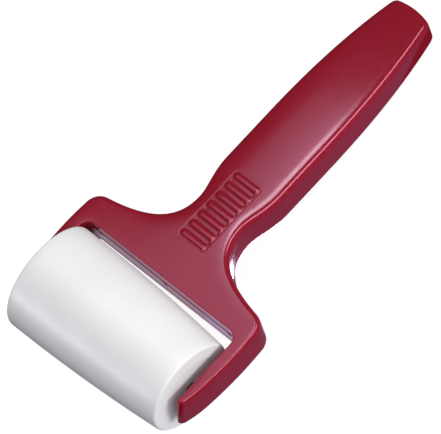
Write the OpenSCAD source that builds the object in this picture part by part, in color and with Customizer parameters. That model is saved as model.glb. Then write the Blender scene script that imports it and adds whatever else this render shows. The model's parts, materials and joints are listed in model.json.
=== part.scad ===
// Lint roller: a two-shell fork handle that carries a free-turning adhesive roll.
//
// The handle is drawn flat, with the roll's axis along X through the origin, the tail towards +Y
// and the thumb panel facing +Z. rest() then leans it so that the roll and the tail's underside
// both stand on the plane z = 0, with the origin under the middle of the object.

/* [Roll] */
// Width of the adhesive roll
roll_len = 102; // [98:1:104]
// Outside diameter of a full roll
roll_d = 59.4; // [58:0.2:60]
// Outside diameter of the cardboard core
core_d = 41; // [40:0.5:44]
// Thickness of the cardboard core's wall
core_wall = 1.5; // [1:0.1:1.8]
// Thickness of the sheet in use
sheet_t = 0.3; // [0.2:0.05:0.5]
// Rounding of the roll's two end edges
roll_edge_r = 2; // [1.2:0.1:2.4]
// How far the roller can slide from the middle; it is drawn at the left end of its play
end_play = 1.2; // [0.6:0.1:1.4]

/* [Fork] */
// Gap between a centred roll's end and an arm
end_gap = 2.8; // [2.6:0.1:4]
// Gap between the roll and the fork's bridge
bridge_gap = 4.6; // [4.5:0.1:6]
// Rounding of the fork's inner corners
fork_r = 6; // [5:0.5:8]
// Reach of the arms past the roll's axis
arm_reach = 15; // [14:0.5:18]
// Thickness of an arm at its tip
arm_tip_t = 4.6; // [4:0.1:5]
// Thickness of an arm at the shoulder
arm_root_t = 6.8; // [6.2:0.1:7.2]
// Rounding of the outer shoulder
shoulder_r = 9.6; // [8:0.2:11]

/* [Handle] */
// Distance from the roll's axis to the end of the tail
tail_y = 227.6; // [215:0.1:235]
// Half width of the neck
neck_half = 15.9; // [15:0.1:17]
// Half width of the grip
grip_half = 19.8; // [18.5:0.1:21]
// Half width of the tail, next to its corner
tail_half = 12.6; // [11.5:0.1:14]
// Height of the top face over the roll's axis
top_z = 11.5; // [10:0.1:12]
// Depth of the underside below the roll's axis
bottom_z = 10.5; // [9.5:0.1:11.5]
// How far the top face drops towards the tail
tail_drop = 2.2; // [2:0.1:4.5]
// How far the underside rises towards the tail
tail_rise = 0.9; // [0.5:0.1:1.5]
// Height of the parting plane over the roll's axis
part_z = 4.3; // [4:0.1:5]
// Wall thickness of both shells
wall = 1.5; // [1.4:0.05:1.6]

/* [Thumb panel] */
// Number of ribs
rib_n = 7; // [5:1:7]
// Distance from one rib to the next
rib_pitch = 6.8; // [6.4:0.1:7]
// Length of a rib
rib_len = 17.4; // [16:0.2:19]
// Width of a rib
rib_w = 4.8; // [4:0.1:5]
// Depth of the panel's floor below the top face
panel_depth = 0.7; // [0.5:0.05:0.9]
// Distance from the roll's axis to the first rib
panel_y = 59.5; // [59:0.5:62]

/* [Pivots] */
// Radius of a stub pivot
pivot_r = 3.2; // [3:0.1:4]
// Radial running clearance of the hub on the pivot
run_fit = 0.05; // [0.03:0.01:0.1]
// Length of the stub that stands inside the hub
stub_len = 9; // [7:0.5:10]
// Radius of the collar that keeps the roll off the arm
collar_r = 4.7; // [4.6:0.1:6]
// Thickness of the flange that is trapped in the arm
flange_t = 0.9; // [0.7:0.05:1]

/* [Screws] */
// Outer radius of the thread
thread_r = 1.45; // [1.3:0.05:1.6]
// Radius of the screw's head
head_r = 2.7; // [2.5:0.1:2.9]
// Height of the screw's head
head_h = 2; // [1.6:0.1:2.2]
// Distance from one thread crest to the next
thread_pitch = 1.3; // [1:0.1:1.6]

/* [Hidden] */
$fn = 96;
eps = 0.01;

// Fork and arms
half_len = roll_len / 2;
roll_r = roll_d / 2;
arm_in = half_len + end_gap;
bridge_y = roll_r + bridge_gap;
shoulder_y = bridge_y + 6.2;
shoulder_x = arm_in + arm_root_t - shoulder_r;
// Angle at which the shoulder's arc runs into the head's upper edge
shoulder_turn = 80;
// How much thicker an arm is beside the pivot than at its tip
arm_swell = 1.4;
neck_y = bridge_y + 45.7;
grip_y0 = neck_y + 26;
grip_y1 = grip_y0 + 32;
taper_y = tail_y - 6.2;
tip_r = arm_tip_t / 2;
// How far the curve from shoulder to neck runs on along each of its two ends
shoulder_sweep = 26;
neck_sweep = 17;
// The tail's last corner, measured in from the tail's side and end
tail_corner = [3.3, 1.3];

// Shells
plastic = [0.56, 0.13, 0.20];
underside_y0 = 130;
hollow_y0 = -8;
boss_r = 3.5;
boss_split_z = 0;
pilot_r = thread_r + 0.03;
counterbore_r = head_r + 0.2;
counterbore_h = 3.5;
screw_seat_z = counterbore_h - 0.1;
thread_top_z = 5;
joint_gap = 0.1;
snap_x = 46;
snap_w = 3.4;
snap_low_z = 0.7;
snap_high_z = 2.5;
tab_t = 1.2;
tab_h = 2;
screw_x = 44;
screw_y = bridge_y + 8.2;
screw_places = [[-screw_x, screw_y], [screw_x, screw_y], [0, neck_y + 33], [0, taper_y - 14]];

// Roll
core_r = core_d / 2;
core_in = core_r - core_wall;
drum_r = core_in - 0.1;
drum_wall = 1.6;
drum_half = half_len - 2;
hub_face = half_len - 0.3;
// Clearance left between a hub and the collar that it slides against
hub_gap = 0.3;
hub_plate = 1.8;
hub_plate_r = core_r - 0.1;
hub_spigot = 7;
hub_tube = 11;
hub_tube_r = 6;
hub_rib_n = 6;

// Rest: the lean at which the tail's lower edge and the roll stand on one plane
tail_foot = [tail_y - 2, tail_rise - bottom_z];
tail_dist = norm(tail_foot);
lean = asin(roll_r / tail_dist) - asin(-tail_foot.y / tail_dist);
reach_back = tail_y * cos(lean) + (top_z - tail_drop) * sin(lean);
mid_y = (reach_back - roll_r) / 2;

// A cubic curve from p0 to p3 in n steps, without its first point
function curve(p0, p1, p2, p3, n) = [
    for (i = [1 : n])
        let (t = i / n, s = 1 - t)
            s * s * s * p0 + 3 * s * s * t * p1 + 3 * s * t * t * p2 + t * t * t * p3
];

// An arc about c in n steps, from angle a0 to angle a1
function arc(c, r, a0, a1, n) = [
    for (i = [0 : n])
        let (a = a0 + (a1 - a0) * i / n)
            c + r * [cos(a), sin(a)]
];

// The fork's inner edge on the +X side, from the bridge's middle to the arm's tip
function inner_edge() = concat(
    [[0, bridge_y]],
    arc([arm_in - fork_r, bridge_y - fork_r], fork_r, 90, 0, 6),
    [[arm_in, 0], [arm_in, tip_r - arm_reach]]
);

// The outer edge on the +X side, from the arm's tip to the end of the tail
function outer_edge() =
    let (
        corner = [shoulder_x, shoulder_y] + shoulder_r * [cos(shoulder_turn), sin(shoulder_turn)],
        along = [-sin(shoulder_turn), cos(shoulder_turn)],
        neck = [neck_half, neck_y],
        tail = [tail_half, taper_y],
        end = [tail_half, tail_y] - tail_corner
    )
    concat(
        [[arm_in + arm_tip_t, tip_r - arm_reach], [arm_in + arm_tip_t + arm_swell, 0]],
        arc([shoulder_x, shoulder_y], shoulder_r, 0, shoulder_turn, 6),
        curve(corner, corner + shoulder_sweep * along, neck - [0, neck_sweep], neck, 14),
        curve(neck, neck + [0, 10], [grip_half, grip_y0 - 10], [grip_half, grip_y0], 7),
        curve([grip_half, grip_y1], [grip_half, grip_y1 + 28], tail + [5.5, -29.5], tail, 9),
        curve(tail, tail + [-0.35, 2.6], end + [1.9, -0.5], end, 5),
        curve(end, end + [-2.9, 0.8], [3.1, tail_y], [0, tail_y], 4)
    );

// Share of the tail's taper that is reached at one place along the handle
function taper(y) = pow(max(y - underside_y0, 0) / (tail_y - underside_y0), 2);

function tip_arc() = arc([arm_in + tip_r, tip_r - arm_reach], tip_r, 180, 360, 7);

// The other half of an outline whose first and last points are on the Y axis
function mirrored(p) = [for (i = [len(p) - 2 : -1 : 1]) [-p[i].x, p[i].y]];

// The same line moved sideways by d, to its left when d is positive
function moved(p, d) = [
    for (i = [0 : len(p) - 1])
        let (
            a = p[max(i - 1, 0)],
            b = p[min(i + 1, len(p) - 1)],
            t = (b - a) / norm(b - a)
        )
        p[i] + d * [-t.y, t.x]
];

module outline() {
    half = concat(inner_edge(), tip_arc(), outer_edge());
    polygon(concat(half, mirrored(half)));
}

// The hollow's outline: every wall is d thick and the arms' tips stay solid
module hollow_outline(d) {
    inner = moved(inner_edge(), d);
    outer = moved(outer_edge(), d);
    low = (hollow_y0 - outer[0].y) / (outer[1].y - outer[0].y);
    start = outer[0] + low * (outer[1] - outer[0]);
    half = concat(
        [for (i = [0 : len(inner) - 2]) inner[i]],
        [[arm_in + d, hollow_y0], start],
        [for (i = [1 : len(outer) - 2]) outer[i]],
        [[0, tail_y - d]]
    );
    polygon(concat(half, mirrored(half)));
}

// The side view, from the arms' tips to the tail, with every face moved inwards by d
module side_view(d) {
    stations = [for (i = [0 : 4]) underside_y0 + (tail_y - underside_y0 + 1) * i / 4];
    front = -arm_reach - 1;
    polygon(concat(
        [[front, d - bottom_z], [front, top_z - d]],
        [for (y = stations) [y, top_z - d - tail_drop * taper(y)]],
        [for (i = [4 : -1 : 0]) [stations[i], d - bottom_z + tail_rise * taper(stations[i])]]
    ));
}

// Swept along X so that a (y, z) drawing becomes a bar
module bar() {
    translate([-100, 0, 0]) rotate([90, 0, 90]) linear_extrude(200) children();
}

module handle_body(d) {
    intersection() {
        translate([0, 0, -20]) linear_extrude(40)
            if (d == 0) outline();
            else hollow_outline(d);
        bar() side_view(d);
    }
}

module above_parting(h) {
    translate([-100, -50, part_z]) cube([200, 320, h]);
}

module below_parting(h) {
    translate([-100, -50, part_z - h]) cube([200, 320, h]);
}

// Underside height at one place along the handle
function under_z(y) = tail_rise * taper(y) - bottom_z;

module rib() {
    translate([0, 0, top_z - panel_depth - eps]) {
        for (side = [-1, 1])
            translate([side * (rib_len - rib_w) / 2, 0, 0]) cylinder(d = rib_w, h = panel_depth + eps);
        translate([-(rib_len - rib_w) / 2, -rib_w / 2, 0])
            cube([rib_len - rib_w, rib_w, panel_depth + eps]);
    }
}

module panel_recess() {
    margin = 0.9;
    r = rib_w / 2 + margin;
    x = rib_len / 2 + margin - r;
    y = (rib_n - 1) * rib_pitch;
    translate([0, panel_y, top_z - panel_depth]) {
        for (side = [-1, 1], end = [0, y])
            translate([side * x, end, 0]) cylinder(r = r, h = 2);
        translate([-x, -r, 0]) cube([2 * x, y + 2 * r, 2]);
        translate([-x - r, 0, 0]) cube([2 * (x + r), y, 2]);
    }
}

// Tongue that closes the slot over a pivot's neck
module slot_tongue() {
    w = 2 * pivot_r - joint_gap;
    z = pivot_r + 0.1;
    translate([arm_in + joint_gap, -w / 2, z])
        cube([wall - 2 * joint_gap, w, part_z - z + 1]);
}

module snap_hook() {
    y = bridge_y + wall;
    translate([-snap_w / 2, y - 0.3, part_z]) cube([snap_w, 1.5, 1.5]);
    translate([-snap_w / 2, y + joint_gap, snap_low_z])
        cube([snap_w, 1.2 - joint_gap, part_z - snap_low_z + eps]);
    translate([joint_gap - snap_w / 2, y - 0.9, snap_low_z + 0.2])
        cube([snap_w - 2 * joint_gap, 0.9 + joint_gap + eps, snap_high_z - snap_low_z - 0.4]);
}

// Tab on the +X side wall of the grip that lines the two shells up
module side_tab() {
    len = grip_y1 - grip_y0 - 4;
    x = grip_half - wall;
    translate([x - tab_t - joint_gap, grip_y0 + 2, part_z - tab_h])
        cube([tab_t, len, tab_h + 1.5]);
    translate([x - tab_t, grip_y0 + 2, part_z]) cube([tab_t + wall / 2, len, 1.5]);
}

// Leans a piece from the flat drawing to the resting pose
module rest() {
    translate([0, -mid_y, roll_r]) rotate([-lean, 0, 0]) children();
}

// The same for a piece of the roller, which has slid to the left
module rest_roller() {
    rest() translate([-end_play, 0, 0]) children();
}

module upper_shell() {
    color(plastic) rest() {
        difference() {
            union() {
                difference() {
                    intersection() {
                        handle_body(0);
                        above_parting(20);
                    }
                    handle_body(wall);
                    panel_recess();
                }
                intersection() {
                    handle_body(0);
                    union() {
                        for (p = screw_places)
                            translate([p.x, p.y, boss_split_z + joint_gap])
                                cylinder(r = boss_r, h = top_z);
                        // Backing under the thumb panel's floor
                        translate([-10, panel_y - 2, top_z - wall - panel_depth])
                            cube([20, (rib_n - 1) * rib_pitch + 4, wall]);
                    }
                }
                for (i = [0 : rib_n - 1])
                    translate([0, panel_y + i * rib_pitch, 0]) rib();
                for (side = [0, 1])
                    mirror([side, 0, 0]) {
                        slot_tongue();
                        side_tab();
                    }
                for (x = [-snap_x, 0, snap_x])
                    translate([x, 0, 0]) snap_hook();
            }
            for (p = screw_places)
                translate([p.x, p.y, boss_split_z]) cylinder(r = pilot_r, h = thread_top_z + 0.5);
        }
    }
}

module lower_shell() {
    color(plastic) rest() {
        difference() {
            union() {
                difference() {
                    intersection() {
                        handle_body(0);
                        below_parting(20);
                    }
                    handle_body(wall);
                }
                intersection() {
                    handle_body(0);
                    union() {
                        for (p = screw_places)
                            translate([p.x, p.y, -bottom_z])
                                cylinder(r = boss_r, h = bottom_z + boss_split_z);
                        for (side = [0, 1])
                            mirror([side, 0, 0]) pivot_saddle();
                    }
                }
            }
            for (p = screw_places)
                translate([p.x, p.y, 0]) screw_hole(under_z(p.y));
            for (side = [0, 1])
                mirror([side, 0, 0]) pivot_slot();
            for (x = [-snap_x, 0, snap_x])
                translate([x - snap_w / 2, bridge_y - 1, snap_low_z])
                    cube([snap_w, wall + 2, snap_high_z - snap_low_z]);
        }
    }
}

// Block under the trapped flange, inside the hollow arm
module pivot_saddle() {
    translate([arm_in + wall / 2, -6, -bottom_z + wall / 2])
        cube([arm_tip_t - wall, 12, bottom_z - collar_r - wall / 2 - joint_gap]);
}

// Open-topped slot in the arm's inner wall that takes the pivot's neck
module pivot_slot() {
    r = pivot_r + joint_gap / 2;
    translate([arm_in - 1, 0, 0]) rotate([0, 90, 0]) cylinder(r = r, h = wall + 1.2);
    translate([arm_in - 1, -r, 0]) cube([wall + 1.2, 2 * r, part_z + 1]);
}

module screw_hole(z) {
    translate([0, 0, z - 1]) cylinder(r = counterbore_r, h = counterbore_h + 1);
    translate([0, 0, z]) cylinder(r = thread_r + 0.15, h = 20);
}

// Stub pivot on the +X side: flange in the arm, neck through its wall, collar and stub
module pivot() {
    inner = hub_face + end_play + hub_gap;
    translate([arm_in + wall + joint_gap, 0, 0]) rotate([0, 90, 0])
        cylinder(r = collar_r - 0.1, h = flange_t);
    translate([inner, 0, 0]) rotate([0, 90, 0])
        cylinder(r = pivot_r, h = arm_in - inner + wall + joint_gap + eps);
    translate([inner, 0, 0]) rotate([0, 90, 0])
        cylinder(r = collar_r, h = arm_in - joint_gap / 2 - inner);
    translate([inner - stub_len + 1, 0, 0]) rotate([0, 90, 0])
        cylinder(r = pivot_r, h = stub_len + 2);
    translate([inner - stub_len, 0, 0]) rotate([0, 90, 0])
        cylinder(r1 = pivot_r - 1, r2 = pivot_r, h = 1 + eps);
}

module left_pivot() {
    color("dimgray") rest() mirror([1, 0, 0]) pivot();
}

module right_pivot() {
    color("dimgray") rest() pivot();
}

// Self-tapping screw, standing on its head at z = 0 with its point up
module screw(len) {
    root_r = thread_r - 0.35;
    turns = floor((len - head_h - 3) / thread_pitch);
    thread_z = len - 1.5 - turns * thread_pitch;
    difference() {
        rotate_extrude() polygon(concat(
            [[0, 0], [head_r - 0.5, 0], [head_r, 0.6], [head_r, head_h], [root_r, head_h]],
            [for (i = [0 : turns - 1], k = [0, 1])
                [root_r + k * (thread_r - root_r), thread_z + (i + 0.5 * k) * thread_pitch]],
            [[root_r, len - 1.5], [0, len]]
        ));
        for (a = [0, 90])
            rotate([0, 0, a]) translate([-1.7, -0.35, -1]) cube([3.4, 0.7, 2.1]);
    }
}

module placed_screw(p) {
    z = under_z(p.y) + screw_seat_z - head_h;
    color("gray") rest() translate([p.x, p.y, z]) screw(thread_top_z - z);
}

module left_shoulder_screw() {
    placed_screw(screw_places[0]);
}

module right_shoulder_screw() {
    placed_screw(screw_places[1]);
}

module neck_screw() {
    placed_screw(screw_places[2]);
}

module tail_screw() {
    placed_screw(screw_places[3]);
}

// A tube along X, centred on the roll's axis
module tube(r_out, r_in, len) {
    rotate([0, 90, 0]) difference() {
        cylinder(r = r_out, h = len, center = true, $fn = 180);
        cylinder(r = r_in, h = len + 2, center = true, $fn = 180);
    }
}

module drum() {
    color("ghostwhite") rest_roller() tube(drum_r, drum_r - drum_wall, 2 * drum_half);
}

// Plug on the +X end of the drum: face plate over the core's end, spigot, bearing tube and ribs
module hub() {
    spigot_r = drum_r - drum_wall - 0.05;
    rotate([0, 90, 0]) difference() {
        union() {
            translate([0, 0, drum_half]) cylinder(r = hub_plate_r, h = hub_face - drum_half);
            translate([0, 0, hub_face - hub_spigot]) difference() {
                cylinder(r = spigot_r, h = hub_spigot);
                translate([0, 0, -1]) cylinder(r = spigot_r - 1.6, h = hub_spigot + 1 - hub_plate);
            }
            translate([0, 0, hub_face - hub_tube]) cylinder(r = hub_tube_r, h = hub_tube);
            for (i = [0 : hub_rib_n - 1])
                rotate([0, 0, i * 360 / hub_rib_n])
                    translate([hub_tube_r - 1, -0.6, hub_face - hub_spigot])
                        cube([spigot_r - hub_tube_r, 1.2, hub_spigot - 0.5]);
        }
        translate([0, 0, hub_face - hub_tube - 1]) cylinder(r = pivot_r + run_fit, h = hub_tube + 2);
    }
}

module left_hub() {
    color("white") rest_roller() mirror([1, 0, 0]) hub();
}

module right_hub() {
    color("white") rest_roller() hub();
}

module cardboard_core() {
    color("tan") rest_roller() tube(core_r, core_in, 2 * drum_half - 0.1);
}

module adhesive_roll() {
    r = roll_r - sheet_t;
    e = roll_edge_r - sheet_t;
    color("whitesmoke") rest_roller() rotate([0, 90, 0]) rotate_extrude($fn = 180) polygon(concat(
        [[core_r, -half_len], [r - e, -half_len]],
        arc([r - e, e - half_len], e, 270, 360, 5),
        arc([r - e, half_len - e], e, 0, 90, 5),
        [[core_r, half_len]]
    ));
}

module outer_sheet() {
    color("white") rest_roller() tube(roll_r, roll_r - sheet_t, roll_len - 2 * roll_edge_r);
}

upper_shell();
lower_shell();
left_pivot();
right_pivot();
left_shoulder_screw();
right_shoulder_screw();
neck_screw();
tail_screw();
drum();
left_hub();
right_hub();
cardboard_core();
adhesive_roll();
outer_sheet();
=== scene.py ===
"""Looks for the lint roller: a glossy dark red fork handle with a white adhesive roll.

Shapes are worked out in millimetres in the handle's own flat frame (roll axis along X through the
origin, tail towards +Y, thumb panel up) and then leaned into the frame's resting pose, in metres.
"""

import json
import math

import bmesh
import bpy
import numpy as np
from mathutils import Matrix, Vector
from mathutils.geometry import delaunay_2d_cdt

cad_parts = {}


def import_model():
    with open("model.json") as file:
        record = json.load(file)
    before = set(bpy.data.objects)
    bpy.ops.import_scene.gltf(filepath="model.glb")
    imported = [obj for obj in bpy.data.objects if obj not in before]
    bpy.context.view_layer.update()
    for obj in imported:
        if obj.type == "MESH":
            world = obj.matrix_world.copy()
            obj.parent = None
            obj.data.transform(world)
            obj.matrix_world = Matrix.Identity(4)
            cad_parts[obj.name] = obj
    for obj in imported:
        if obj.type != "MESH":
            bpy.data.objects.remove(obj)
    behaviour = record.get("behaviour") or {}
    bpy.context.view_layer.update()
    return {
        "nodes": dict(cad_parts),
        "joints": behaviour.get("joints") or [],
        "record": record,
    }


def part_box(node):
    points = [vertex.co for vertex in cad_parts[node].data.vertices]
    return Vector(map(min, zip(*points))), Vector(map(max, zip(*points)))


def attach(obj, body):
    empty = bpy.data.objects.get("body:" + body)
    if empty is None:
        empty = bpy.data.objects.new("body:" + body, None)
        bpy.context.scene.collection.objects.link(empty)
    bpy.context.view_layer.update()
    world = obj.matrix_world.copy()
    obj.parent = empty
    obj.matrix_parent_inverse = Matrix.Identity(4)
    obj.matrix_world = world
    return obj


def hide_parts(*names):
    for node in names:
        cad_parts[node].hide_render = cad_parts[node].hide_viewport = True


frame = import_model()

# ---------------------------------------------------------------- sizes read from the frame

MM = 0.001
AXIS = Vector(frame["joints"][0]["pos_m"])
UNDERSIDE = Vector(frame["record"]["mounts"][0]["axis"])
LEAN = math.asin(-UNDERSIDE.y)
REST = Matrix.Translation(AXIS) @ Matrix.Rotation(-LEAN, 4, "X") @ Matrix.Scale(MM, 4)

sheet_lo, sheet_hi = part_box("outer_sheet")
paper_lo, paper_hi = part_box("adhesive_roll")
ROLL_R = (sheet_hi.z - sheet_lo.z) / 2 / MM
HALF_LEN = (paper_hi.x - paper_lo.x) / 2 / MM
ROLL_X = (paper_hi.x + paper_lo.x) / 2 / MM
ARM_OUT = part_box("upper_shell")[1].x / MM

# ---------------------------------------------------------------- the handle's outline

ARM_ROOT_T = 6.8
ARM_TIP_T = 4.6
ARM_IN = ARM_OUT - ARM_ROOT_T
ARM_REACH = 16.6
TIP_IN_R = 1.2
TIP_OUT_R = 3.0
BRIDGE_Y = ROLL_R + 4.4
FORK_R = 6.0
SHOULDER_R = 9.6
SHOULDER_START = math.radians(4)
SHOULDER_TURN = math.radians(80)
SHOULDER_BULGE = 0.4
SHOULDER = np.array([ARM_OUT + SHOULDER_BULGE - SHOULDER_R, BRIDGE_Y + 6.2])
NECK = np.array([15.9, BRIDGE_Y + 45.7])
GRIP_HALF = 20.0
GRIP_Y0 = NECK[1] + 26.0
GRIP_Y1 = GRIP_Y0 + 32.0
TAIL_Y = 228.2
TAIL = np.array([13.1, TAIL_Y - 6.2])
TAIL_END = np.array([9.8, TAIL_Y - 1.3])
TAIL_DIR = np.array([-0.183, 0.983])

# How far each curve of the outline runs on along its ends, from the arm's tip to the tail
ARM_START = np.array([2.9, 17.0])
ARM_SWEEP = 16
SHOULDER_SWEEP = 26
NECK_SWEEP = 17
WAIST_SWEEP = 7
HIP_SWEEP = 12
GRIP_SWEEP = 28
TAPER_SWEEP = 30
TAIL_SWEEP = 2.6
TAIL_END_BEFORE = np.array([1.9, -0.5])
TAIL_END_AFTER = np.array([-2.9, 0.77])
END_SWEEP = 3.1

# Heights of the faces and of the parting line, and how the faces close in towards the tail
TOP_Z = 11.5
BOTTOM_Z = -10.5
PART_Z = 4.3
TAPER_Y = 130.0
TAIL_DROP = 2.2
TAIL_RISE = 0.9
WALL = 1.1

# The parting gap, then how the arms' tips lean back and turn in, and how the grip is set over
SEAM_ABOVE = 0.4
SEAM_BELOW = 1.5
SEAM_CHAMFER = 0.05
SEAM_HAIRLINE = 0.01
TIP_RAKE = 0.27
TIP_TOE = 1.6
GRIP_OFFSET = 0.7
OFFSET_GROWS = (40, 58)

# The snap windows in the bridge's wall: their places, half width, depth, and top and bottom below the
# parting line. Points along the bridge are closer together in a zone round each window.
SNAPS_X = (-46.0, 0.0, 46.0)
SNAP_HALF = 1.25
SNAP_DEPTH = 1.3
SNAP_FROM = 2.15
SNAP_TO = 3.85
SNAP_ZONE = 2.2
BRIDGE_STEP = 1.6

# The thumb panel: its ribs, the grooves between them and its shallow floor
RIB_N = 7
RIB_PITCH = 6.8
RIB_X = -0.35
RIB_STRAIGHT = 6.55
RIB_R = 2.45
RIB_TOP = 0.55
RIB_H = 1.35
GAP_R = 1.5
GAP_FLAT_R = 1.0
GAP_DEPTH = 0.55
PANEL_DEPTH = 0.05
PANEL_MARGIN = 2.7
PANEL_Y = 59.5
RIB_ROW = RIB_PITCH / 34


def curve(p0, p1, p2, p3, n):
    """A cubic curve in n steps, without its first point."""
    t = (np.arange(1, n + 1) / n)[:, None]
    s = 1 - t
    return s**3 * p0 + 3 * s * s * t * p1 + 3 * s * t * t * p2 + t**3 * p3


def arc(centre, r, a0, a1, n):
    """An arc in n steps, without its first point."""
    a = a0 + (a1 - a0) * np.arange(1, n + 1) / n
    return np.array(centre) + r * np.stack([np.cos(a), np.sin(a)], 1)


def line(p0, p1, n):
    """A straight stretch in n steps, without its first point."""
    t = (np.arange(1, n + 1) / n)[:, None]
    return (1 - t) * np.array(p0, float) + t * np.array(p1, float)


def bridge_stations():
    """x places along the +X half of the bridge, closer together around the snap windows."""
    reach = ARM_IN - FORK_R
    x = set(np.round(np.arange(0, reach, BRIDGE_STEP), 3)) | {reach}
    for s in SNAPS_X:
        x = {v for v in x if abs(v - s) > SNAP_ZONE}
        if s >= 0:
            x |= {s + d for d in (-1.8, -1.35, -1.2, -0.6, 0.6, 1.2, 1.35, 1.8)}
    return np.array(sorted(v for v in x if 0 < v <= reach))


def on_shoulder(angle):
    """A point of the shoulder's arc and the outline's direction there."""
    radial = np.array([math.cos(angle), math.sin(angle)])
    return SHOULDER + SHOULDER_R * radial, np.array([-radial[1], radial[0]])


def half_outline():
    """The +X half, from the bridge's middle round the arm and shoulder to the tail's middle."""
    tip_in = [ARM_IN + TIP_IN_R, TIP_IN_R - ARM_REACH]
    tip_out = [ARM_IN + ARM_TIP_T - TIP_OUT_R, TIP_OUT_R - ARM_REACH]
    out_tip = np.array([ARM_IN + ARM_TIP_T, TIP_OUT_R - ARM_REACH])
    root, root_dir = on_shoulder(SHOULDER_START)
    corner, turn = on_shoulder(SHOULDER_TURN)
    side0 = np.array([GRIP_HALF, GRIP_Y0])
    side1 = np.array([GRIP_HALF, GRIP_Y1])
    end = np.array([0.0, TAIL_Y])
    up = np.array([0.0, 1.0])
    bridge = bridge_stations()
    parts = [
        np.array([[0.0, BRIDGE_Y]]),
        np.stack([bridge, np.full(len(bridge), BRIDGE_Y)], 1),
        arc([ARM_IN - FORK_R, BRIDGE_Y - FORK_R], FORK_R, math.pi / 2, 0, 12),
        line([ARM_IN, BRIDGE_Y - FORK_R], [ARM_IN, tip_in[1]], 32),
        arc(tip_in, TIP_IN_R, math.pi, 1.5 * math.pi, 7),
        arc(tip_out, TIP_OUT_R, 1.5 * math.pi, 2 * math.pi, 12),
        curve(out_tip, out_tip + ARM_START, root - ARM_SWEEP * root_dir, root, 36),
        arc(SHOULDER, SHOULDER_R, SHOULDER_START, SHOULDER_TURN, 14),
        curve(corner, corner + SHOULDER_SWEEP * turn, NECK - NECK_SWEEP * up, NECK, 56),
        curve(NECK, NECK + WAIST_SWEEP * up, side0 - HIP_SWEEP * up, side0, 26),
        line(side0, side1, 26),
        curve(side1, side1 + GRIP_SWEEP * up, TAIL - TAPER_SWEEP * TAIL_DIR, TAIL, 64),
        curve(TAIL, TAIL + TAIL_SWEEP * TAIL_DIR, TAIL_END + TAIL_END_BEFORE, TAIL_END, 12),
        curve(TAIL_END, TAIL_END + TAIL_END_AFTER, end + [END_SWEEP, 0], end, 10),
    ]
    return np.concatenate(parts)


def outline():
    """The whole outline, counter-clockwise, as an (n, 2) array."""
    half = half_outline()
    other = half[-2:0:-1] * [-1, 1]
    return np.concatenate([half, other])


def inward_normals(p):
    """Unit normals that point into the plastic."""
    t = np.roll(p, -1, 0) - np.roll(p, 1, 0)
    t /= np.linalg.norm(t, axis=1)[:, None]
    return np.stack([-t[:, 1], t[:, 0]], 1)


def taper(y):
    """0 up to TAPER_Y, and from there a smooth rise to 1 at the tail's end."""
    return np.clip((y - TAPER_Y) / (TAIL_Y - TAPER_Y), 0, None) ** 2


def top_plane(y):
    return TOP_Z - TAIL_DROP * taper(y)


def bottom_plane(y):
    return BOTTOM_Z + TAIL_RISE * taper(y)


def smooth_step(a, b, x):
    t = np.clip((x - a) / (b - a), 0, 1)
    return t * t * (3 - 2 * t)


def grip_offset(y):
    """How far the neck and grip sit to the left of the fork's middle."""
    return GRIP_OFFSET * smooth_step(*OFFSET_GROWS, y)


def settle(points):
    """Draws the arms' tips back towards the top and in below, and sets neck and grip to the left."""
    x, y, z = points.T
    height = np.clip((z - BOTTOM_Z) / (TOP_Z - BOTTOM_Z), 0, 1)
    ahead = np.clip(-y / ARM_REACH, 0, 1)
    toe = TIP_TOE * ahead**2 * (1 - height) * np.sign(x)
    rake = np.where(ahead > 0, TIP_RAKE * height**1.4, 0)
    return np.column_stack([x - toe - grip_offset(y), y - y * rake, z])


# ---------------------------------------------------------------- filling a face with a fine net


def stagger(x0, x1, y0, y1, step, row):
    """Points over a rectangle, every other row moved by half a step."""
    out = []
    for k in range(int((y1 - y0) / row) + 1):
        xs = np.arange(x0 + (k % 2) * step / 2, x1, step)
        out.append(np.column_stack([xs, np.full(len(xs), y0 + k * row)]))
    return np.concatenate(out)


def hex_points(x0, x1, y0, y1, step):
    """Points over a rectangle, each as far from all its neighbours."""
    return stagger(x0, x1, y0, y1, step, step * math.sqrt(0.75))


def inside(p, ring):
    """Which of the points lie inside the ring."""
    hit = np.zeros(len(p), bool)
    a, b = ring, np.roll(ring, -1, 0)
    for (ax, ay), (bx, by) in zip(a, b):
        if ay == by:
            continue
        cross = (ay > p[:, 1]) != (by > p[:, 1])
        x = ax + (p[:, 1] - ay) * (bx - ax) / (by - ay)
        hit ^= cross & (p[:, 0] < x)
    return hit


def ring_distance(p, ring):
    """Distance from each point to the ring."""
    best = np.full(len(p), 1e9)
    a, b = ring, np.roll(ring, -1, 0)
    for u, v in zip(a, b):
        d = v - u
        t = np.clip(((p - u) @ d) / max(d @ d, 1e-12), 0, 1)
        q = p - u - t[:, None] * d
        best = np.minimum(best, np.einsum("ij,ij->i", q, q))
    return np.sqrt(best)


def fill(ring, extra, holes=()):
    """Triangles over the inside of a ring: points (ring first, then each hole's, then extra) and faces."""
    loops = [ring, *holes]
    pts = np.concatenate([*loops, extra])
    edges, start = [], 0
    for loop in loops:
        n = len(loop)
        edges += [(start + i, start + (i + 1) % n) for i in range(n)]
        start += n
    got = delaunay_2d_cdt([Vector(p) for p in pts], edges, [], 0, 1e-6)
    xy = np.array([(v.x, v.y) for v in got[0]])
    tri = np.array(got[2])
    mid = xy[tri].mean(1)
    keep = inside(mid, ring)
    for hole in holes:
        keep &= ~inside(mid, hole)
    first_source = np.array([sources[0] for sources in got[3]])
    return pts, first_source[tri[keep]]


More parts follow.
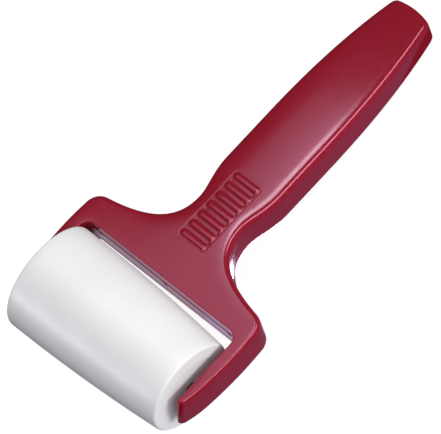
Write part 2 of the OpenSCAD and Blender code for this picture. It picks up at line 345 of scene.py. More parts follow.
def crown_field(pts, tri, edge_n):
    """Solves the soap-film equation over a net, zero on its first edge_n points.

    It gives a smooth swell that is highest where the face is widest.
    """
    a, b, c = pts[tri[:, 0]], pts[tri[:, 1]], pts[tri[:, 2]]
    area = 0.5 * np.abs((b - a)[:, 0] * (c - a)[:, 1] - (b - a)[:, 1] * (c - a)[:, 0])
    area = np.maximum(area, 1e-9)
    n = len(pts)
    rows, cols, wts = [], [], []
    for i, j, k in ((0, 1, 2), (1, 2, 0), (2, 0, 1)):
        u = pts[tri[:, i]] - pts[tri[:, k]]
        v = pts[tri[:, j]] - pts[tri[:, k]]
        w = 0.5 * np.einsum("ij,ij->i", u, v) / (2 * area)
        rows += [tri[:, i], tri[:, j]]
        cols += [tri[:, j], tri[:, i]]
        wts += [w, w]
    rows, cols, wts = np.concatenate(rows), np.concatenate(cols), np.concatenate(wts)
    diag = np.bincount(rows, wts, n)
    load = np.bincount(tri.ravel(), np.repeat(area / 3, 3), n)
    free = np.ones(n, bool)
    free[:edge_n] = False
    diag = np.where(free & (diag > 1e-9), diag, 1.0)

    def apply(x):
        y = diag * x - np.bincount(rows, wts * x[cols], n)
        return np.where(free, y, 0)

    x = np.zeros(n)
    r = np.where(free, load, 0)
    z = r / diag
    p = z.copy()
    rz = r @ z
    for _ in range(SOLVER_ROUNDS):
        q = apply(p)
        step = rz / max(p @ q, 1e-30)
        x += step * p
        r -= step * q
        z = r / diag
        new = r @ z
        if new < 1e-10:
            break
        p = z + (new / rz) * p
        rz = new
    return x


# ---------------------------------------------------------------- mesh helpers

SMOOTH_ANGLE = 38


def make_object(name, verts, faces):
    """A mesh object in the resting pose, with edges sharper than the smooth angle left hard."""
    mesh = bpy.data.meshes.new(name)
    mesh.from_pydata([tuple(v) for v in verts], [], [tuple(int(i) for i in f) for f in faces])
    mesh.transform(REST)
    bm = bmesh.new()
    bm.from_mesh(mesh)
    bmesh.ops.remove_doubles(bm, verts=bm.verts, dist=1e-7)
    bmesh.ops.recalc_face_normals(bm, faces=bm.faces)
    limit = math.radians(SMOOTH_ANGLE)
    for f in bm.faces:
        f.smooth = True
    for e in bm.edges:
        if len(e.link_faces) == 2:
            e.smooth = e.calc_face_angle(0) < limit
    bm.to_mesh(mesh)
    bm.free()
    mesh.update()
    obj = bpy.data.objects.new(name, mesh)
    bpy.context.scene.collection.objects.link(obj)
    return obj


class Net:
    """Collects rings of points and the faces between them."""

    def __init__(self):
        self.verts = []
        self.faces = []

    def add(self, pts):
        start = sum(len(v) for v in self.verts)
        self.verts.append(np.asarray(pts, float))
        return start

    def strip(self, a, b, n, flip=False):
        for i in range(n):
            j = (i + 1) % n
            quad = (a + i, a + j, b + j, b + i)
            self.faces.append(quad[::-1] if flip else quad)

    def build(self, name, shape):
        return make_object(name, shape(np.concatenate(self.verts)), self.faces)


# ---------------------------------------------------------------- the two shells

CROWN = 1.0
HEAD_CROWN = 0.35
CROWN_SPREAD = 65.0
CROWN_GROWS = (58, 92)
SOLVER_ROUNDS = 1500
SMOOTH_ROUNDS = 40
FILLET = 2.7
ARM_FILLET = 2.0
WINDOW_FILLET = 0.6
FILLET_GROWS = (26, 42)
TIP_BAND = 0.8
LOW_FILLET = 2.2
LOW_CROWN = 0.3
TOP_TURN = 8
LOW_TURN = 6
DRAFT = 0.025
MAX_SLOPE = 0.3
RIB_BLEND = 0.3

# The rectangles that the nets of points cover, and the spacing of their points
FACE_NET = (-62, 62, -16, 228)
TOP_STEP = 1.35
LOW_STEP = 1.7
RIB_STEP = 0.34
CAVITY_NET = (-60, 60, 36, 224)
CAVITY_STEP = 9.0
CAVITY_EDGE = 2.0
CAVITY_CLEAR = 0.8

# How far the panel's fine net runs on past the panel, and the plain net's distance from it
PANEL_NET_MARGIN = 0.9
PANEL_NET_SIDE = 0.4
PANEL_NET_END = 0.5

# Rows of points just inside the fillets, and where the plain net starts behind them
TOP_BORDER = (0.2, 0.5, 0.9, 1.5)
TOP_BORDER_END = 2.4
LOW_BORDER = (0.6, 1.3)
LOW_BORDER_END = 2.2

# Rings up the lower wall, with one just outside and one just inside each end of the snap windows
WALL_RINGS = (9.0, 5.0, 3.9, 3.8, 3.0, 2.2, 2.1, 1.8)

# The screw wells in the underside, each with a pilot hole in its floor
WELL_R = 2.9
WELL_DEPTH = 3.4
WELL_CHAMFER = 0.25
WELL_MARGIN = 1.0
WELL_SIDES = 40
PILOT_R = 1.7
PILOT_DEPTH = 3


def fillet_radius(p):
    """The rounding along the edge: finer on the slim arms and nearly sharp round the roll's window."""
    x, y = np.abs(p[:, 0]), p[:, 1]
    outer = ARM_FILLET + (FILLET - ARM_FILLET) * smooth_step(*FILLET_GROWS, y)
    across = smooth_step(ARM_IN, ARM_IN + ARM_TIP_T - TIP_BAND, x)
    return np.where(y < BRIDGE_Y + 0.01, WINDOW_FILLET + (outer - WINDOW_FILLET) * across, outer)


def crown_height(y):
    """Rise of the face from its edge to its middle: the head is flatter than the grip."""
    return HEAD_CROWN + (CROWN - HEAD_CROWN) * smooth_step(*CROWN_GROWS, y)


def bar_distance(p, y, half_length):
    """Distance to the straight middle line of a rib, or of a gap, that lies at y."""
    dx = np.maximum(np.abs(p[:, 0] - RIB_X) - half_length, 0)
    return np.hypot(dx, p[:, 1] - y)


def panel_relief(p):
    """Height of the thumb panel against the plain face.

    A shallow recess holds seven convex ribs, and a deeper groove runs between each two of them.
    """
    mid_y = PANEL_Y + (RIB_N - 1) * RIB_PITCH / 2
    half = np.array([RIB_STRAIGHT, mid_y - PANEL_Y]) + PANEL_MARGIN
    q = np.abs(p - [RIB_X, mid_y]) - half + PANEL_MARGIN
    edge = np.linalg.norm(np.maximum(q, 0), axis=1) + np.minimum(q.max(1), 0) - PANEL_MARGIN
    floor_z = -PANEL_DEPTH * smooth_step(0.5, -0.5, edge)

    place = (p[:, 1] - PANEL_Y) / RIB_PITCH
    gap = np.clip(np.round(place - 0.5), 0, RIB_N - 2) + 0.5
    to_gap = bar_distance(p, PANEL_Y + gap * RIB_PITCH, RIB_STRAIGHT + 0.3)
    floor_z = floor_z - GAP_DEPTH * smooth_step(GAP_R, GAP_FLAT_R, to_gap)

    rib = np.clip(np.round(place), 0, RIB_N - 1)
    to_rib = bar_distance(p, PANEL_Y + rib * RIB_PITCH, RIB_STRAIGHT)
    rib_z = RIB_TOP - RIB_H * (to_rib / RIB_R) ** 3
    return np.where(to_rib < RIB_R + 0.5, soft_max(floor_z, rib_z, RIB_BLEND), floor_z)


def soft_max(a, b, blend):
    """The larger of two heights, with a small fillet where they cross."""
    h = np.maximum(blend - np.abs(a - b), 0) / blend
    return np.maximum(a, b) + h * h * blend / 4


def on_bridge(p):
    """Which of the outline's points lie along the bridge's wall."""
    return (np.abs(p[:, 0]) < ARM_IN - 2) & (np.abs(p[:, 1] - BRIDGE_Y) < 2.5)


def seam_gap(p, width):
    """One side of the parting gap: as wide as asked along the bridge, hairline elsewhere."""
    return np.where(on_bridge(p), width, SEAM_HAIRLINE)


def seam_chamfer(p):
    """Chamfer on each side of the parting gap along the bridge."""
    return np.where(on_bridge(p), SEAM_CHAMFER, 0.0)


def edge_slope(pts, tri, field, edge_n):
    """Slope of the crown at each point of the net's edge, smoothed along the edge."""
    a, b, c = pts[tri[:, 0]], pts[tri[:, 1]], pts[tri[:, 2]]
    fa, fb, fc = field[tri[:, 0]], field[tri[:, 1]], field[tri[:, 2]]
    det = (b - a)[:, 0] * (c - a)[:, 1] - (b - a)[:, 1] * (c - a)[:, 0]
    gx = ((fb - fa) * (c - a)[:, 1] - (fc - fa) * (b - a)[:, 1]) / det
    gy = ((fc - fa) * (b - a)[:, 0] - (fb - fa) * (c - a)[:, 0]) / det
    g = np.hypot(gx, gy) * np.abs(det)
    total = np.bincount(tri.ravel(), np.repeat(g, 3), len(pts))[:edge_n]
    weight = np.bincount(tri.ravel(), np.repeat(np.abs(det), 3), len(pts))[:edge_n]
    slope = total / weight
    for _ in range(SMOOTH_ROUNDS):
        slope = (np.roll(slope, 1) + 2 * slope + np.roll(slope, -1)) / 4
    return slope


def border_rings(ring, offsets):
    """Even rows of points just inside a ring, which keep the highlight along its edge clean."""
    inward = inward_normals(ring)
    rows = []
    for d in offsets:
        row = ring + inward * d
        row = row[inside(row, ring)]
        rows.append(row[ring_distance(row, ring) > 0.97 * d])
    return np.concatenate(rows)


def cavity_ceiling(y):
    return top_plane(y) - CROWN - WALL - CAVITY_CLEAR


def cavity_floor(y):
    return bottom_plane(y) + LOW_CROWN + WALL + CAVITY_CLEAR


def add_hollow(net, last, rim, rim_z, far_side, flip):
    """Closes a shell on its hollow side: the rim, the inner wall and the face opposite the opening."""
    for z in (rim_z, far_side(rim[:, 1])):
        now = net.add(np.column_stack([rim, z]))
        net.strip(last, now, len(rim), flip=flip)
        last = now
    middle = hex_points(*CAVITY_NET, CAVITY_STEP)
    middle = middle[inside(middle, rim)]
    middle = middle[ring_distance(middle, rim) > CAVITY_EDGE]
    pts, tri = fill(rim, middle)
    start = net.add(np.column_stack([pts, far_side(pts[:, 1])]))
    for t in tri:
        face = tuple(start + t)
        net.faces.append(face if flip else face[::-1])


def upper_shell():
    edge = outline()
    n = len(edge)
    inward = inward_normals(edge)
    r = fillet_radius(edge)
    inner = edge + inward * r[:, None]
    coarse = hex_points(*FACE_NET, TOP_STEP)
    reach_y = PANEL_MARGIN + PANEL_NET_MARGIN
    reach_x = RIB_STRAIGHT + reach_y
    low_y = PANEL_Y - round(reach_y / RIB_ROW) * RIB_ROW
    high_y = PANEL_Y + (RIB_N - 1) * RIB_PITCH + reach_y
    fine = stagger(RIB_X - reach_x, RIB_X + reach_x, low_y, high_y, RIB_STEP, RIB_ROW)
    in_panel = np.abs(coarse[:, 0] - RIB_X) < reach_x + PANEL_NET_SIDE
    in_panel &= coarse[:, 1] > fine[:, 1].min() - PANEL_NET_END
    in_panel &= coarse[:, 1] < fine[:, 1].max() + PANEL_NET_END
    coarse = coarse[~in_panel]
    coarse = coarse[inside(coarse, inner)]
    coarse = coarse[ring_distance(coarse, inner) > TOP_BORDER_END]
    borders = border_rings(inner, TOP_BORDER)
    pts, tri = fill(inner, np.concatenate([borders, coarse, fine]))

    swell = crown_field(pts, tri, n)
    lift = swell / (swell + CROWN_SPREAD)
    crown = crown_height(pts[:, 1])
    slope = np.minimum(edge_slope(pts, tri, crown * lift, n), MAX_SLOPE)
    z = top_plane(pts[:, 1]) - crown * (1 - lift) + panel_relief(pts)

    net = Net()
    top = net.add(np.column_stack([pts, z]))
    for t in tri:
        net.faces.append(tuple(top + t))

    lean0 = np.arctan(slope)
    foot = top_plane(edge[:, 1]) - crown_height(edge[:, 1]) - r * np.cos(lean0)
    last = top
    for k in range(1, TOP_TURN + 1):
        beta = lean0 + (math.pi / 2 - lean0) * k / TOP_TURN
        back = r * (1 - (np.sin(beta) - np.sin(lean0)) / (1 - np.sin(lean0)))
        ring = edge + inward * (back + DRAFT * (foot - PART_Z) * k / TOP_TURN)[:, None]
        now = net.add(np.column_stack([ring, foot + r * np.cos(beta)]))
        net.strip(last, now, n)
        last = now
    low = PART_Z + seam_gap(edge, SEAM_ABOVE)
    chamfer = seam_chamfer(edge)
    # Down the wall to the parting gap: share of the height left, then the chamfer's top and foot
    for share, lift_c, back_c in ((0.5, 1, 0), (0.12, 1, 0), (0.0, 1, 0), (0.0, 0, 1)):
        height = low + (foot - low) * share + chamfer * lift_c
        ring = edge + inward * (DRAFT * (height - PART_Z) + chamfer * back_c)[:, None]
        now = net.add(np.column_stack([ring, height]))
        net.strip(last, now, n)
        last = now
    add_hollow(net, last, edge + inward * WALL, low, cavity_ceiling, flip=False)
    return net.build("upper_shell_skin", settle)


def screw_places():
    """Centres of the four screw wells, from the screws themselves."""
    back = REST.inverted()
    names = ("left_shoulder_screw", "right_shoulder_screw", "neck_screw", "tail_screw")
    found = []
    for name in names:
        lo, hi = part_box(name)
        mid = back @ ((lo + hi) / 2)
        found.append((mid.x + grip_offset(mid.y), mid.y))
    return np.array(found)


def lower_shell():
    edge = outline()
    n = len(edge)
    inward = inward_normals(edge)
    r = np.minimum(fillet_radius(edge), LOW_FILLET)
    inner = edge + inward * r[:, None]
    wells = screw_places()
    holes = [arc(c, WELL_R + WELL_CHAMFER, 0, -2 * math.pi, WELL_SIDES) for c in wells]
    coarse = hex_points(*FACE_NET, LOW_STEP)
    coarse = coarse[inside(coarse, inner)]
    coarse = coarse[ring_distance(coarse, inner) > LOW_BORDER_END]
    coarse = np.concatenate([border_rings(inner, LOW_BORDER), coarse])
    for c in wells:
        coarse = coarse[np.linalg.norm(coarse - c, axis=1) > WELL_R + WELL_MARGIN]
    pts, tri = fill(inner, coarse, holes)
    swell = crown_field(pts, tri, n)
    lift = swell / (swell + CROWN_SPREAD)
    slope = np.minimum(edge_slope(pts, tri, LOW_CROWN * lift, n), MAX_SLOPE)
    z = bottom_plane(pts[:, 1]) + LOW_CROWN * (1 - lift)

    net = Net()
    face = net.add(np.column_stack([pts, z]))
    for t in tri:
        net.faces.append(tuple(face + t)[::-1])
    start = face + n
    well_steps = (
        (WELL_R, WELL_CHAMFER), (WELL_R, WELL_DEPTH),
        (PILOT_R, WELL_DEPTH), (PILOT_R, WELL_DEPTH + PILOT_DEPTH),
    )
    for c, hole in zip(wells, holes):
        m = len(hole)
        rim_z = z[start - face:start - face + m]
        last = start
        for radius, depth in well_steps:
            ring = c + (hole - c) * radius / (WELL_R + WELL_CHAMFER)
            now = net.add(np.column_stack([ring, rim_z + depth]))
            net.strip(last, now, m)
            last = now
        net.faces.append(tuple(range(last, last + m)))
        start += m

    lean0 = np.arctan(slope)
    foot = bottom_plane(edge[:, 1]) + LOW_CROWN + r * np.cos(lean0)
    last = face
    for k in range(1, LOW_TURN + 1):
        beta = lean0 + (math.pi / 2 - lean0) * k / LOW_TURN
        back = r * (1 - (np.sin(beta) - np.sin(lean0)) / (1 - np.sin(lean0)))
        ring = edge + inward * (back + DRAFT * (PART_Z - foot) * k / LOW_TURN)[:, None]
        now = net.add(np.column_stack([ring, foot - r * np.cos(beta)]))
        net.strip(last, now, n, flip=True)
        last = now
    high = PART_Z - seam_gap(edge, SEAM_BELOW)
    for level in [PART_Z - d for d in WALL_RINGS]:
        ring = edge + inward * DRAFT * (PART_Z - level)
        if SNAP_FROM < PART_Z - level < SNAP_TO:
            for s in SNAPS_X:
                cut = (np.abs(edge[:, 0] - s) < SNAP_HALF) & (np.abs(edge[:, 1] - BRIDGE_Y) < 0.5)
                ring = ring + inward * np.where(cut, SNAP_DEPTH, 0.0)[:, None]
        now = net.add(np.column_stack([ring, np.full(n, level)]))
        net.strip(last, now, n, flip=True)
        last = now
    chamfer = seam_chamfer(edge)
    for back_c in (0, 1):
        ring = edge + inward * (chamfer * back_c)[:, None]
        now = net.add(np.column_stack([ring, high - chamfer * (1 - back_c)]))
        net.strip(last, now, n, flip=True)
        last = now
    add_hollow(net, last, edge + inward * WALL, high, cavity_floor, flip=True)
    return net.build("lower_shell_skin", settle)


# ---------------------------------------------------------------- the roll

ROLL_GROWTH = 0.6
ROLL_TAPER = 2.1
ROLL_BARREL = 1.2
ROLL_SIDES = 160
EDGE_R = 1.4
SHEET_T = 0.3
SHEET_STEPS = 200
SHEET_START = math.radians(-152)
LAP_STEP = 0.12
CORE_CLEAR = 0.02


def taper_roll(points):
    """The paper is wound a little tighter at its +X end, and slightly fuller in its middle."""
    x, y, z = points.T
    along = (x - ROLL_X) / HALF_LEN
    size = 1 + (ROLL_GROWTH - ROLL_TAPER * along - ROLL_BARREL * along**2) / ROLL_R
    return np.column_stack([x, y * size, z * size])


def revolve(name, profile, n, shape):
    """A closed body turned about the X axis from (x, radius) points."""
    net = Net()
    a = 2 * np.pi * np.arange(n) / n
    first = last = None
    for x, r in profile:
        now = net.add(np.column_stack([np.full(n, ROLL_X + x), r * np.cos(a), r * np.sin(a)]))
        if last is not None:
            net.strip(last, now, n)
        else:
            first = now
        last = now
    net.strip(last, first, n)
    return net.build(name, shape)


def paper_roll():
    """The wound paper: bore, end faces and rounded end edges."""
    core = (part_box("cardboard_core")[1].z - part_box("cardboard_core")[0].z) / 2 / MM + CORE_CLEAR
    out = ROLL_R - SHEET_T
    e = EDGE_R - SHEET_T
    xs = HALF_LEN
    turn = [math.radians(a) for a in (0, 15, 30, 45, 60, 75, 90)]
    right = [(xs - e + e * math.cos(a), out - e + e * math.sin(a)) for a in turn]
    left = [(-x, r) for x, r in reversed(right)]
    face = [core + (out - e - core) * k / 6 for k in range(7)]
    profile = [(xs, r) for r in face[:-1]] + right + left + [(-xs, r) for r in reversed(face[:-1])]
    return revolve("paper_roll", profile, ROLL_SIDES, taper_roll)


def top_sheet():
    """The sheet in use: one turn of thin paper, with a small step where its free end lies."""
    n = SHEET_STEPS
    net = Net()
    xs = np.concatenate([
        [-HALF_LEN + 0.25, -HALF_LEN + 0.5, -HALF_LEN + 0.85, -HALF_LEN + EDGE_R],
        np.linspace(-HALF_LEN + 6, HALF_LEN - 6, 12),
        [HALF_LEN - EDGE_R, HALF_LEN - 0.85, HALF_LEN - 0.5, HALF_LEN - 0.25],
    ])
    drop = np.clip(np.abs(xs) - (HALF_LEN - EDGE_R), 0, None)
    droop = EDGE_R - np.sqrt(EDGE_R**2 - drop**2)
    angles = SHEET_START + 2 * np.pi * np.arange(n + 1) / n
    for outer in (True, False):
        for k, a in enumerate(angles):
            inset = LAP_STEP * (1 - k / n) if outer else SHEET_T
            r = ROLL_R - inset - droop
            net.add(np.column_stack([ROLL_X + xs, r * math.cos(a), r * math.sin(a)]))
    m = len(xs)
    for k in range(n):
        for i in range(m - 1):
            a = k * m + i
            net.faces.append((a, a + m, a + m + 1, a + 1))
            b = (n + 1 + k) * m + i
            net.faces.append((b, b + 1, b + m + 1, b + m))
    for k in range(n):
        for i, flip in ((0, False), (m - 1, True)):
            a, b = k * m + i, (n + 1 + k) * m + i
            quad = (a, b, b + m, a + m)
            net.faces.append(quad[::-1] if flip else quad)
    for k in (0, n):
        for i in range(m - 1):
            a, b = k * m + i, (n + 1 + k) * m + i
            quad = (a, a + 1, b + 1, b)
            net.faces.append(quad if k == 0 else quad[::-1])
    return net.build("top_sheet", taper_roll)


# ---------------------------------------------------------------- materials


class Shader:
    """A material under construction, with short calls for its nodes."""

    def __init__(self, name):
        self.mat = bpy.data.materials.new(name)
        self.mat.use_nodes = True
        self.tree = self.mat.node_tree
        self.bsdf = self.tree.nodes["Principled BSDF"]
        self.where = self.tree.nodes.new("ShaderNodeTexCoord").outputs["Object"]

    def node(self, kind, **settings):
        n = self.tree.nodes.new(kind)
        for key, value in settings.items():
            setattr(n, key, value)
        return n

    def link(self, out, socket):
        self.tree.links.new(out, socket)

    def noise(self, scale, detail=3.0, rough=0.5, stretch=(1, 1, 1)):
        m = self.node("ShaderNodeMapping")
        m.inputs["Scale"].default_value = stretch
        self.link(self.where, m.inputs["Vector"])
        n = self.node("ShaderNodeTexNoise")
        n.inputs["Scale"].default_value = scale
        n.inputs["Detail"].default_value = detail
        n.inputs["Roughness"].default_value = rough
        self.link(m.outputs["Vector"], n.inputs["Vector"])
        return n.outputs["Fac"]

    def remap(self, fac, lo, hi, to_lo, to_hi):
        n = self.node("ShaderNodeMapRange")
        n.inputs["From Min"].default_value = lo
        n.inputs["From Max"].default_value = hi
        n.inputs["To Min"].default_value = to_lo
        n.inputs["To Max"].default_value = to_hi
        self.link(fac, n.inputs["Value"])
        return n.outputs["Result"]

    def mix(self, fac, a, b):
        n = self.node("ShaderNodeMix", data_type="RGBA")
        self.link(fac, n.inputs["Factor"])
        for value, socket in ((a, n.inputs["A"]), (b, n.inputs["B"])):
            if isinstance(value, tuple):
                socket.default_value = (*value, 1.0)
            else:
                self.link(value, socket)
        return n.outputs["Result"]

    def bump(self, height, strength, distance, normal=None):
        n = self.node("ShaderNodeBump")
        n.inputs["Strength"].default_value = strength
        n.inputs["Distance"].default_value = distance
        self.link(height, n.inputs["Height"])
        if normal is not None:
            self.link(normal, n.inputs["Normal"])
        return n.outputs["Normal"]

    def set(self, **values):
        for key, value in values.items():
            socket = self.bsdf.inputs[key.replace("_", " ")]
            if isinstance(value, (int, float, tuple)):
                socket.default_value = value
            else:
                self.link(value, socket)


def red_plastic():
    s = Shader("red_plastic")
    cloud = s.noise(18, 2)
    colour = s.mix(s.remap(cloud, 0.35, 0.65, 0, 1), (0.248, 0.008, 0.020), (0.262, 0.009, 0.022))
    scuff = s.noise(900, 4, 0.6, (1, 0.12, 1))
    rough = s.remap(scuff, 0.4, 0.75, 0.12, 0.18)
    wave = s.bump(s.noise(45, 2), 0.02, 0.0006)
    fine = s.bump(scuff, 0.01, 0.0001, wave)
    s.set(Base_Color=colour, Roughness=rough, Normal=fine, IOR=1.5)
    s.set(Specular_Tint=(0.9, 0.78, 1.0, 1.0))
    return s.mat


def white_sheet():
    s = Shader("white_sheet")
    fibre = s.noise(700, 5, 0.6)
    cloud = s.noise(35, 3)
    colour = s.mix(s.remap(cloud, 0.3, 0.7, 0, 1), (0.80, 0.80, 0.805), (0.84, 0.84, 0.84))
    rough = s.remap(fibre, 0.3, 0.7, 0.36, 0.46)
    bump = s.bump(fibre, 0.05, 0.0002, s.bump(cloud, 0.08, 0.0006))
    s.set(Base_Color=colour, Roughness=rough, Normal=bump, IOR=1.45)
    return s.mat


def radius_of(s):
    """Distance from the roll's axis, in metres, of a piece whose own axis is the axis."""
    m = s.node("ShaderNodeVectorMath", operation="SUBTRACT")
    m.inputs[1].default_value = AXIS
    s.link(s.where, m.inputs[0])
    flat = s.node("ShaderNodeVectorMath", operation="MULTIPLY")
    flat.inputs[1].default_value = (0, 1, 1)
    s.link(m.outputs[0], flat.inputs[0])
    length = s.node("ShaderNodeVectorMath", operation="LENGTH")
    s.link(flat.outputs[0], length.inputs[0])
    return length.outputs["Value"]


def paper_edges():
    """Cut edges of many wound turns: fine rings about the axis."""
    s = Shader("paper_edges")
    radius = radius_of(s)
    rings = s.node("ShaderNodeTexNoise", noise_dimensions="1D")
    rings.inputs["Scale"].default_value = 4200
    rings.inputs["Detail"].default_value = 2
    s.link(radius, rings.inputs["W"])
    fibre = s.noise(900, 4)
    both = s.node("ShaderNodeMath", operation="ADD")
    s.link(rings.outputs["Fac"], both.inputs[0])
    s.link(fibre, both.inputs[1])
    tone = s.remap(both.outputs[0], 0.6, 1.4, 0, 1)
    colour = s.mix(tone, (0.80, 0.79, 0.80), (0.88, 0.88, 0.88))
    s.set(Base_Color=colour, Roughness=s.remap(fibre, 0.3, 0.7, 0.5, 0.65), IOR=1.45)
    s.set(Normal=s.bump(both.outputs[0], 0.12, 0.0002))
    return s.mat


def moulded(name, dark, light, rough):
    s = Shader(name)
    cloud = s.noise(60, 3)
    grain = s.noise(1800, 3)
    s.set(Base_Color=s.mix(s.remap(cloud, 0.3, 0.7, 0, 1), dark, light))
    s.set(Roughness=s.remap(grain, 0.3, 0.7, rough - 0.05, rough + 0.08))
    s.set(Normal=s.bump(grain, 0.08, 0.0001), IOR=1.49)
    return s.mat


def core_board():
    s = Shader("core_board")
    spiral = s.node("ShaderNodeTexWave", wave_type="BANDS", bands_direction="DIAGONAL")
    spiral.inputs["Scale"].default_value = 30
    spiral.inputs["Distortion"].default_value = 1.5
    s.link(s.where, spiral.inputs["Vector"])
    fibre = s.noise(500, 5, 0.65)
    both = s.mix(fibre, (0.36, 0.26, 0.16), (0.55, 0.42, 0.29))
    s.set(Base_Color=both, Roughness=s.remap(fibre, 0.3, 0.7, 0.75, 0.9))
    s.set(Normal=s.bump(spiral.outputs["Fac"], 0.15, 0.0003, s.bump(fibre, 0.2, 0.0002)))
    return s.mat


def zinc_steel():
    s = Shader("zinc_steel")
    brushed = s.noise(1500, 4, 0.6, (1, 0.1, 1))
    cloud = s.noise(300, 3)
    s.set(Base_Color=s.mix(cloud, (0.50, 0.50, 0.52), (0.66, 0.66, 0.67)), Metallic=1.0)
    s.set(Roughness=s.remap(brushed, 0.3, 0.7, 0.26, 0.42), Normal=s.bump(brushed, 0.1, 0.0001))
    return s.mat


def paint(obj, mat):
    obj.data.materials.clear()
    obj.data.materials.append(mat)


# ---------------------------------------------------------------- put it together

RED = red_plastic()
WHITE = white_sheet()
EDGES = paper_edges()
SATIN = moulded("satin_white", (0.78, 0.78, 0.79), (0.84, 0.84, 0.845), 0.38)
ACETAL = moulded("black_acetal", (0.012, 0.012, 0.013), (0.02, 0.02, 0.022), 0.35)

pieces = (
    (upper_shell(), RED, "handle", "red_plastic", "upper_shell"),
    (lower_shell(), RED, "handle", "red_plastic", "lower_shell"),
    (paper_roll(), EDGES, "roller", "wound_paper", "adhesive_roll"),
    (top_sheet(), WHITE, "roller", "adhesive_paper", "outer_sheet"),
)
for piece, mat, body, slot_name, node in pieces:
    paint(piece, mat)
    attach(piece, body)
    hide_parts(node)

BOARD = core_board()
STEEL = zinc_steel()
carried = {
    "left_pivot": ACETAL, "right_pivot": ACETAL, "drum": SATIN, "left_hub": SATIN, "right_hub": SATIN,
    "cardboard_core": BOARD, "left_shoulder_screw": STEEL, "right_shoulder_screw": STEEL,
    "neck_screw": STEEL, "tail_screw": STEEL,
}
for node, mat in carried.items():
    paint(frame["nodes"][node], mat)

# ---------------------------------------------------------------- stage, lights and camera

# The camera looks down from beyond the roll's +X end, through a long lens from far away. Its directions
# and the point it aims at are given in the handle's flat frame, in millimetres.
VIEW_BACK = Vector((0.410, -0.194, 0.891)).normalized()
VIEW_UP = Vector((-0.5613, 0.7161, 0.4147)).normalized()
VIEW_RIGHT = VIEW_UP.cross(VIEW_BACK).normalized()
VIEW_UP = VIEW_BACK.cross(VIEW_RIGHT).normalized()
FRAME_W = 226.2
DISTANCE = 9000.0
AIM = VIEW_RIGHT * 51.0 + VIEW_UP * 59.5


def camera():
    data = bpy.data.cameras.new("camera")
    data.sensor_width = 36
    data.lens = data.sensor_width * DISTANCE / FRAME_W
    cam = bpy.data.objects.new("camera", data)
    turn = REST.to_3x3().normalized()
    axes = Matrix((turn @ VIEW_RIGHT, turn @ VIEW_UP, turn @ VIEW_BACK)).transposed()
    place = REST @ (AIM + VIEW_BACK * DISTANCE)
    cam.matrix_world = Matrix.Translation(place) @ axes.to_4x4()
    bpy.context.scene.collection.objects.link(cam)
    bpy.context.scene.camera = cam


def floor():
    """A pale floor that stays white in the picture and doesn't tint the object."""
    size = 6.0
    mesh = bpy.data.meshes.new("floor")
    corners = [(-size, -size, 0), (size, -size, 0), (size, size, 0), (-size, size, 0)]
    mesh.from_pydata(corners, [], [(0, 1, 2, 3)])
    obj = bpy.data.objects.new("floor", mesh)
    bpy.context.scene.collection.objects.link(obj)
    s = Shader("floor")
    s.set(Base_Color=(0.3, 0.3, 0.3, 1.0), Roughness=0.9, Specular_IOR_Level=0.0)
    s.set(Emission_Color=(1.0, 1.0, 1.0, 1.0), Emission_Strength=0.84)
    paint(obj, s.mat)
    obj.visible_diffuse = False
    obj.visible_glossy = False
    obj.visible_shadow = False


def softbox(name, place, target, width, height, power, colour, diffuse=False, glossy=True):
    """A rectangular light that faces its target, for soft shading or for reflections only."""
    data = bpy.data.lights.new(name, "AREA")
    data.shape = "RECTANGLE"
    data.size, data.size_y = width, height
    data.energy = power
    data.color = colour
    obj = bpy.data.objects.new(name, data)
    obj.location = place
    obj.rotation_euler = (Vector(target) - Vector(place)).to_track_quat("-Z", "Y").to_euler()
    obj.visible_camera = False
    obj.visible_diffuse = diffuse
    obj.visible_glossy = glossy
    bpy.context.scene.collection.objects.link(obj)


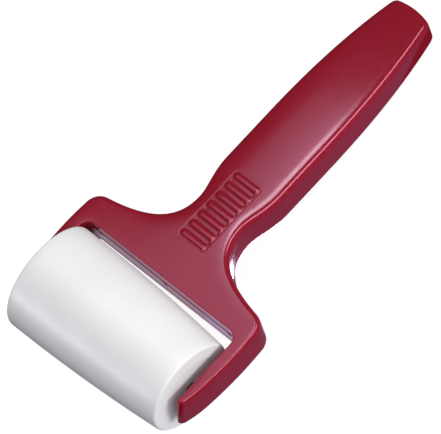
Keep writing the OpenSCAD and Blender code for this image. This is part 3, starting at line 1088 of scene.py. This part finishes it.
def world():
    """Soft light all round that is strongest from above the tail's side, and isn't reflected."""
    w = bpy.data.worlds.new("world")
    w.use_nodes = True
    tree = w.node_tree
    where = tree.nodes.new("ShaderNodeTexCoord")
    dot = tree.nodes.new("ShaderNodeVectorMath")
    dot.operation = "DOT_PRODUCT"
    dot.inputs[1].default_value = Vector((0.25, 0.5, 0.83)).normalized()
    tree.links.new(where.outputs["Generated"], dot.inputs[0])
    ramp = tree.nodes.new("ShaderNodeMapRange")
    ramp.inputs["From Min"].default_value = -0.88
    ramp.inputs["From Max"].default_value = 1
    tree.links.new(dot.outputs["Value"], ramp.inputs["Value"])
    mix = tree.nodes.new("ShaderNodeMix")
    mix.data_type = "RGBA"
    mix.inputs["A"].default_value = (0.045, 0.04, 0.085, 1)
    mix.inputs["B"].default_value = (0.95, 0.95, 0.96, 1)
    tree.links.new(ramp.outputs["Result"], mix.inputs["Factor"])
    back = tree.nodes["Background"]
    tree.links.new(mix.outputs["Result"], back.inputs["Color"])
    back.inputs["Strength"].default_value = 1.04
    w.cycles_visibility.glossy = False
    bpy.context.scene.world = w


camera()
floor()
world()
HERE = (0.0, 0.0, 0.03)
PLAIN = (1.0, 1.0, 1.0)
LILAC = (0.95, 0.87, 1.0)
PINK = (1.0, 0.77, 0.98)
BLUE = (0.42, 0.55, 1.0)
softbox("key", (0.1, -0.5, 1.35), HERE, 1.0, 1.0, 3.6, PLAIN, diffuse=True, glossy=False)
softbox("side_key", (1.0, 0.4, 0.33), HERE, 0.5, 0.5, 5.2, PLAIN, diffuse=True, glossy=False)
softbox("ceiling", (-0.32, 0.11, 1.0), (-0.32, 0.11, 0.0), 0.34, 0.62, 1.24, LILAC)
softbox("grip_glow", (-0.31, 0.355, 0.99), (-0.31, 0.355, 0.0), 0.22, 0.13, 0.14, LILAC)
softbox("overhead", (-0.2, 0.29, 0.98), (-0.2, 0.29, 0.0), 0.13, 0.18, 0.95, (1.0, 0.88, 0.86))
softbox("front", (-0.45, -0.95, 0.2), HERE, 0.5, 0.16, 5.0, LILAC)
softbox("side", (0.36, 0.30, 0.95), (0.36, 0.30, 0.0), 0.34, 1.1, 16.0, (1.0, 0.55, 0.6))
softbox("under_fork", (-0.012, -0.065, 0.0015), (-0.012, -0.065, 1.0), 0.128, 0.05, 0.014, PINK)
softbox("under_neck", (0.0, -0.02, 0.002), (0.0, -0.02, 1.0), 0.034, 0.04, 0.04, LILAC)
softbox("under_side", (0.125, 0.04, 0.0015), (0.125, 0.04, 1.0), 0.215, 0.36, 0.06, BLUE)
bpy.context.scene.view_settings.view_transform = "Standard"
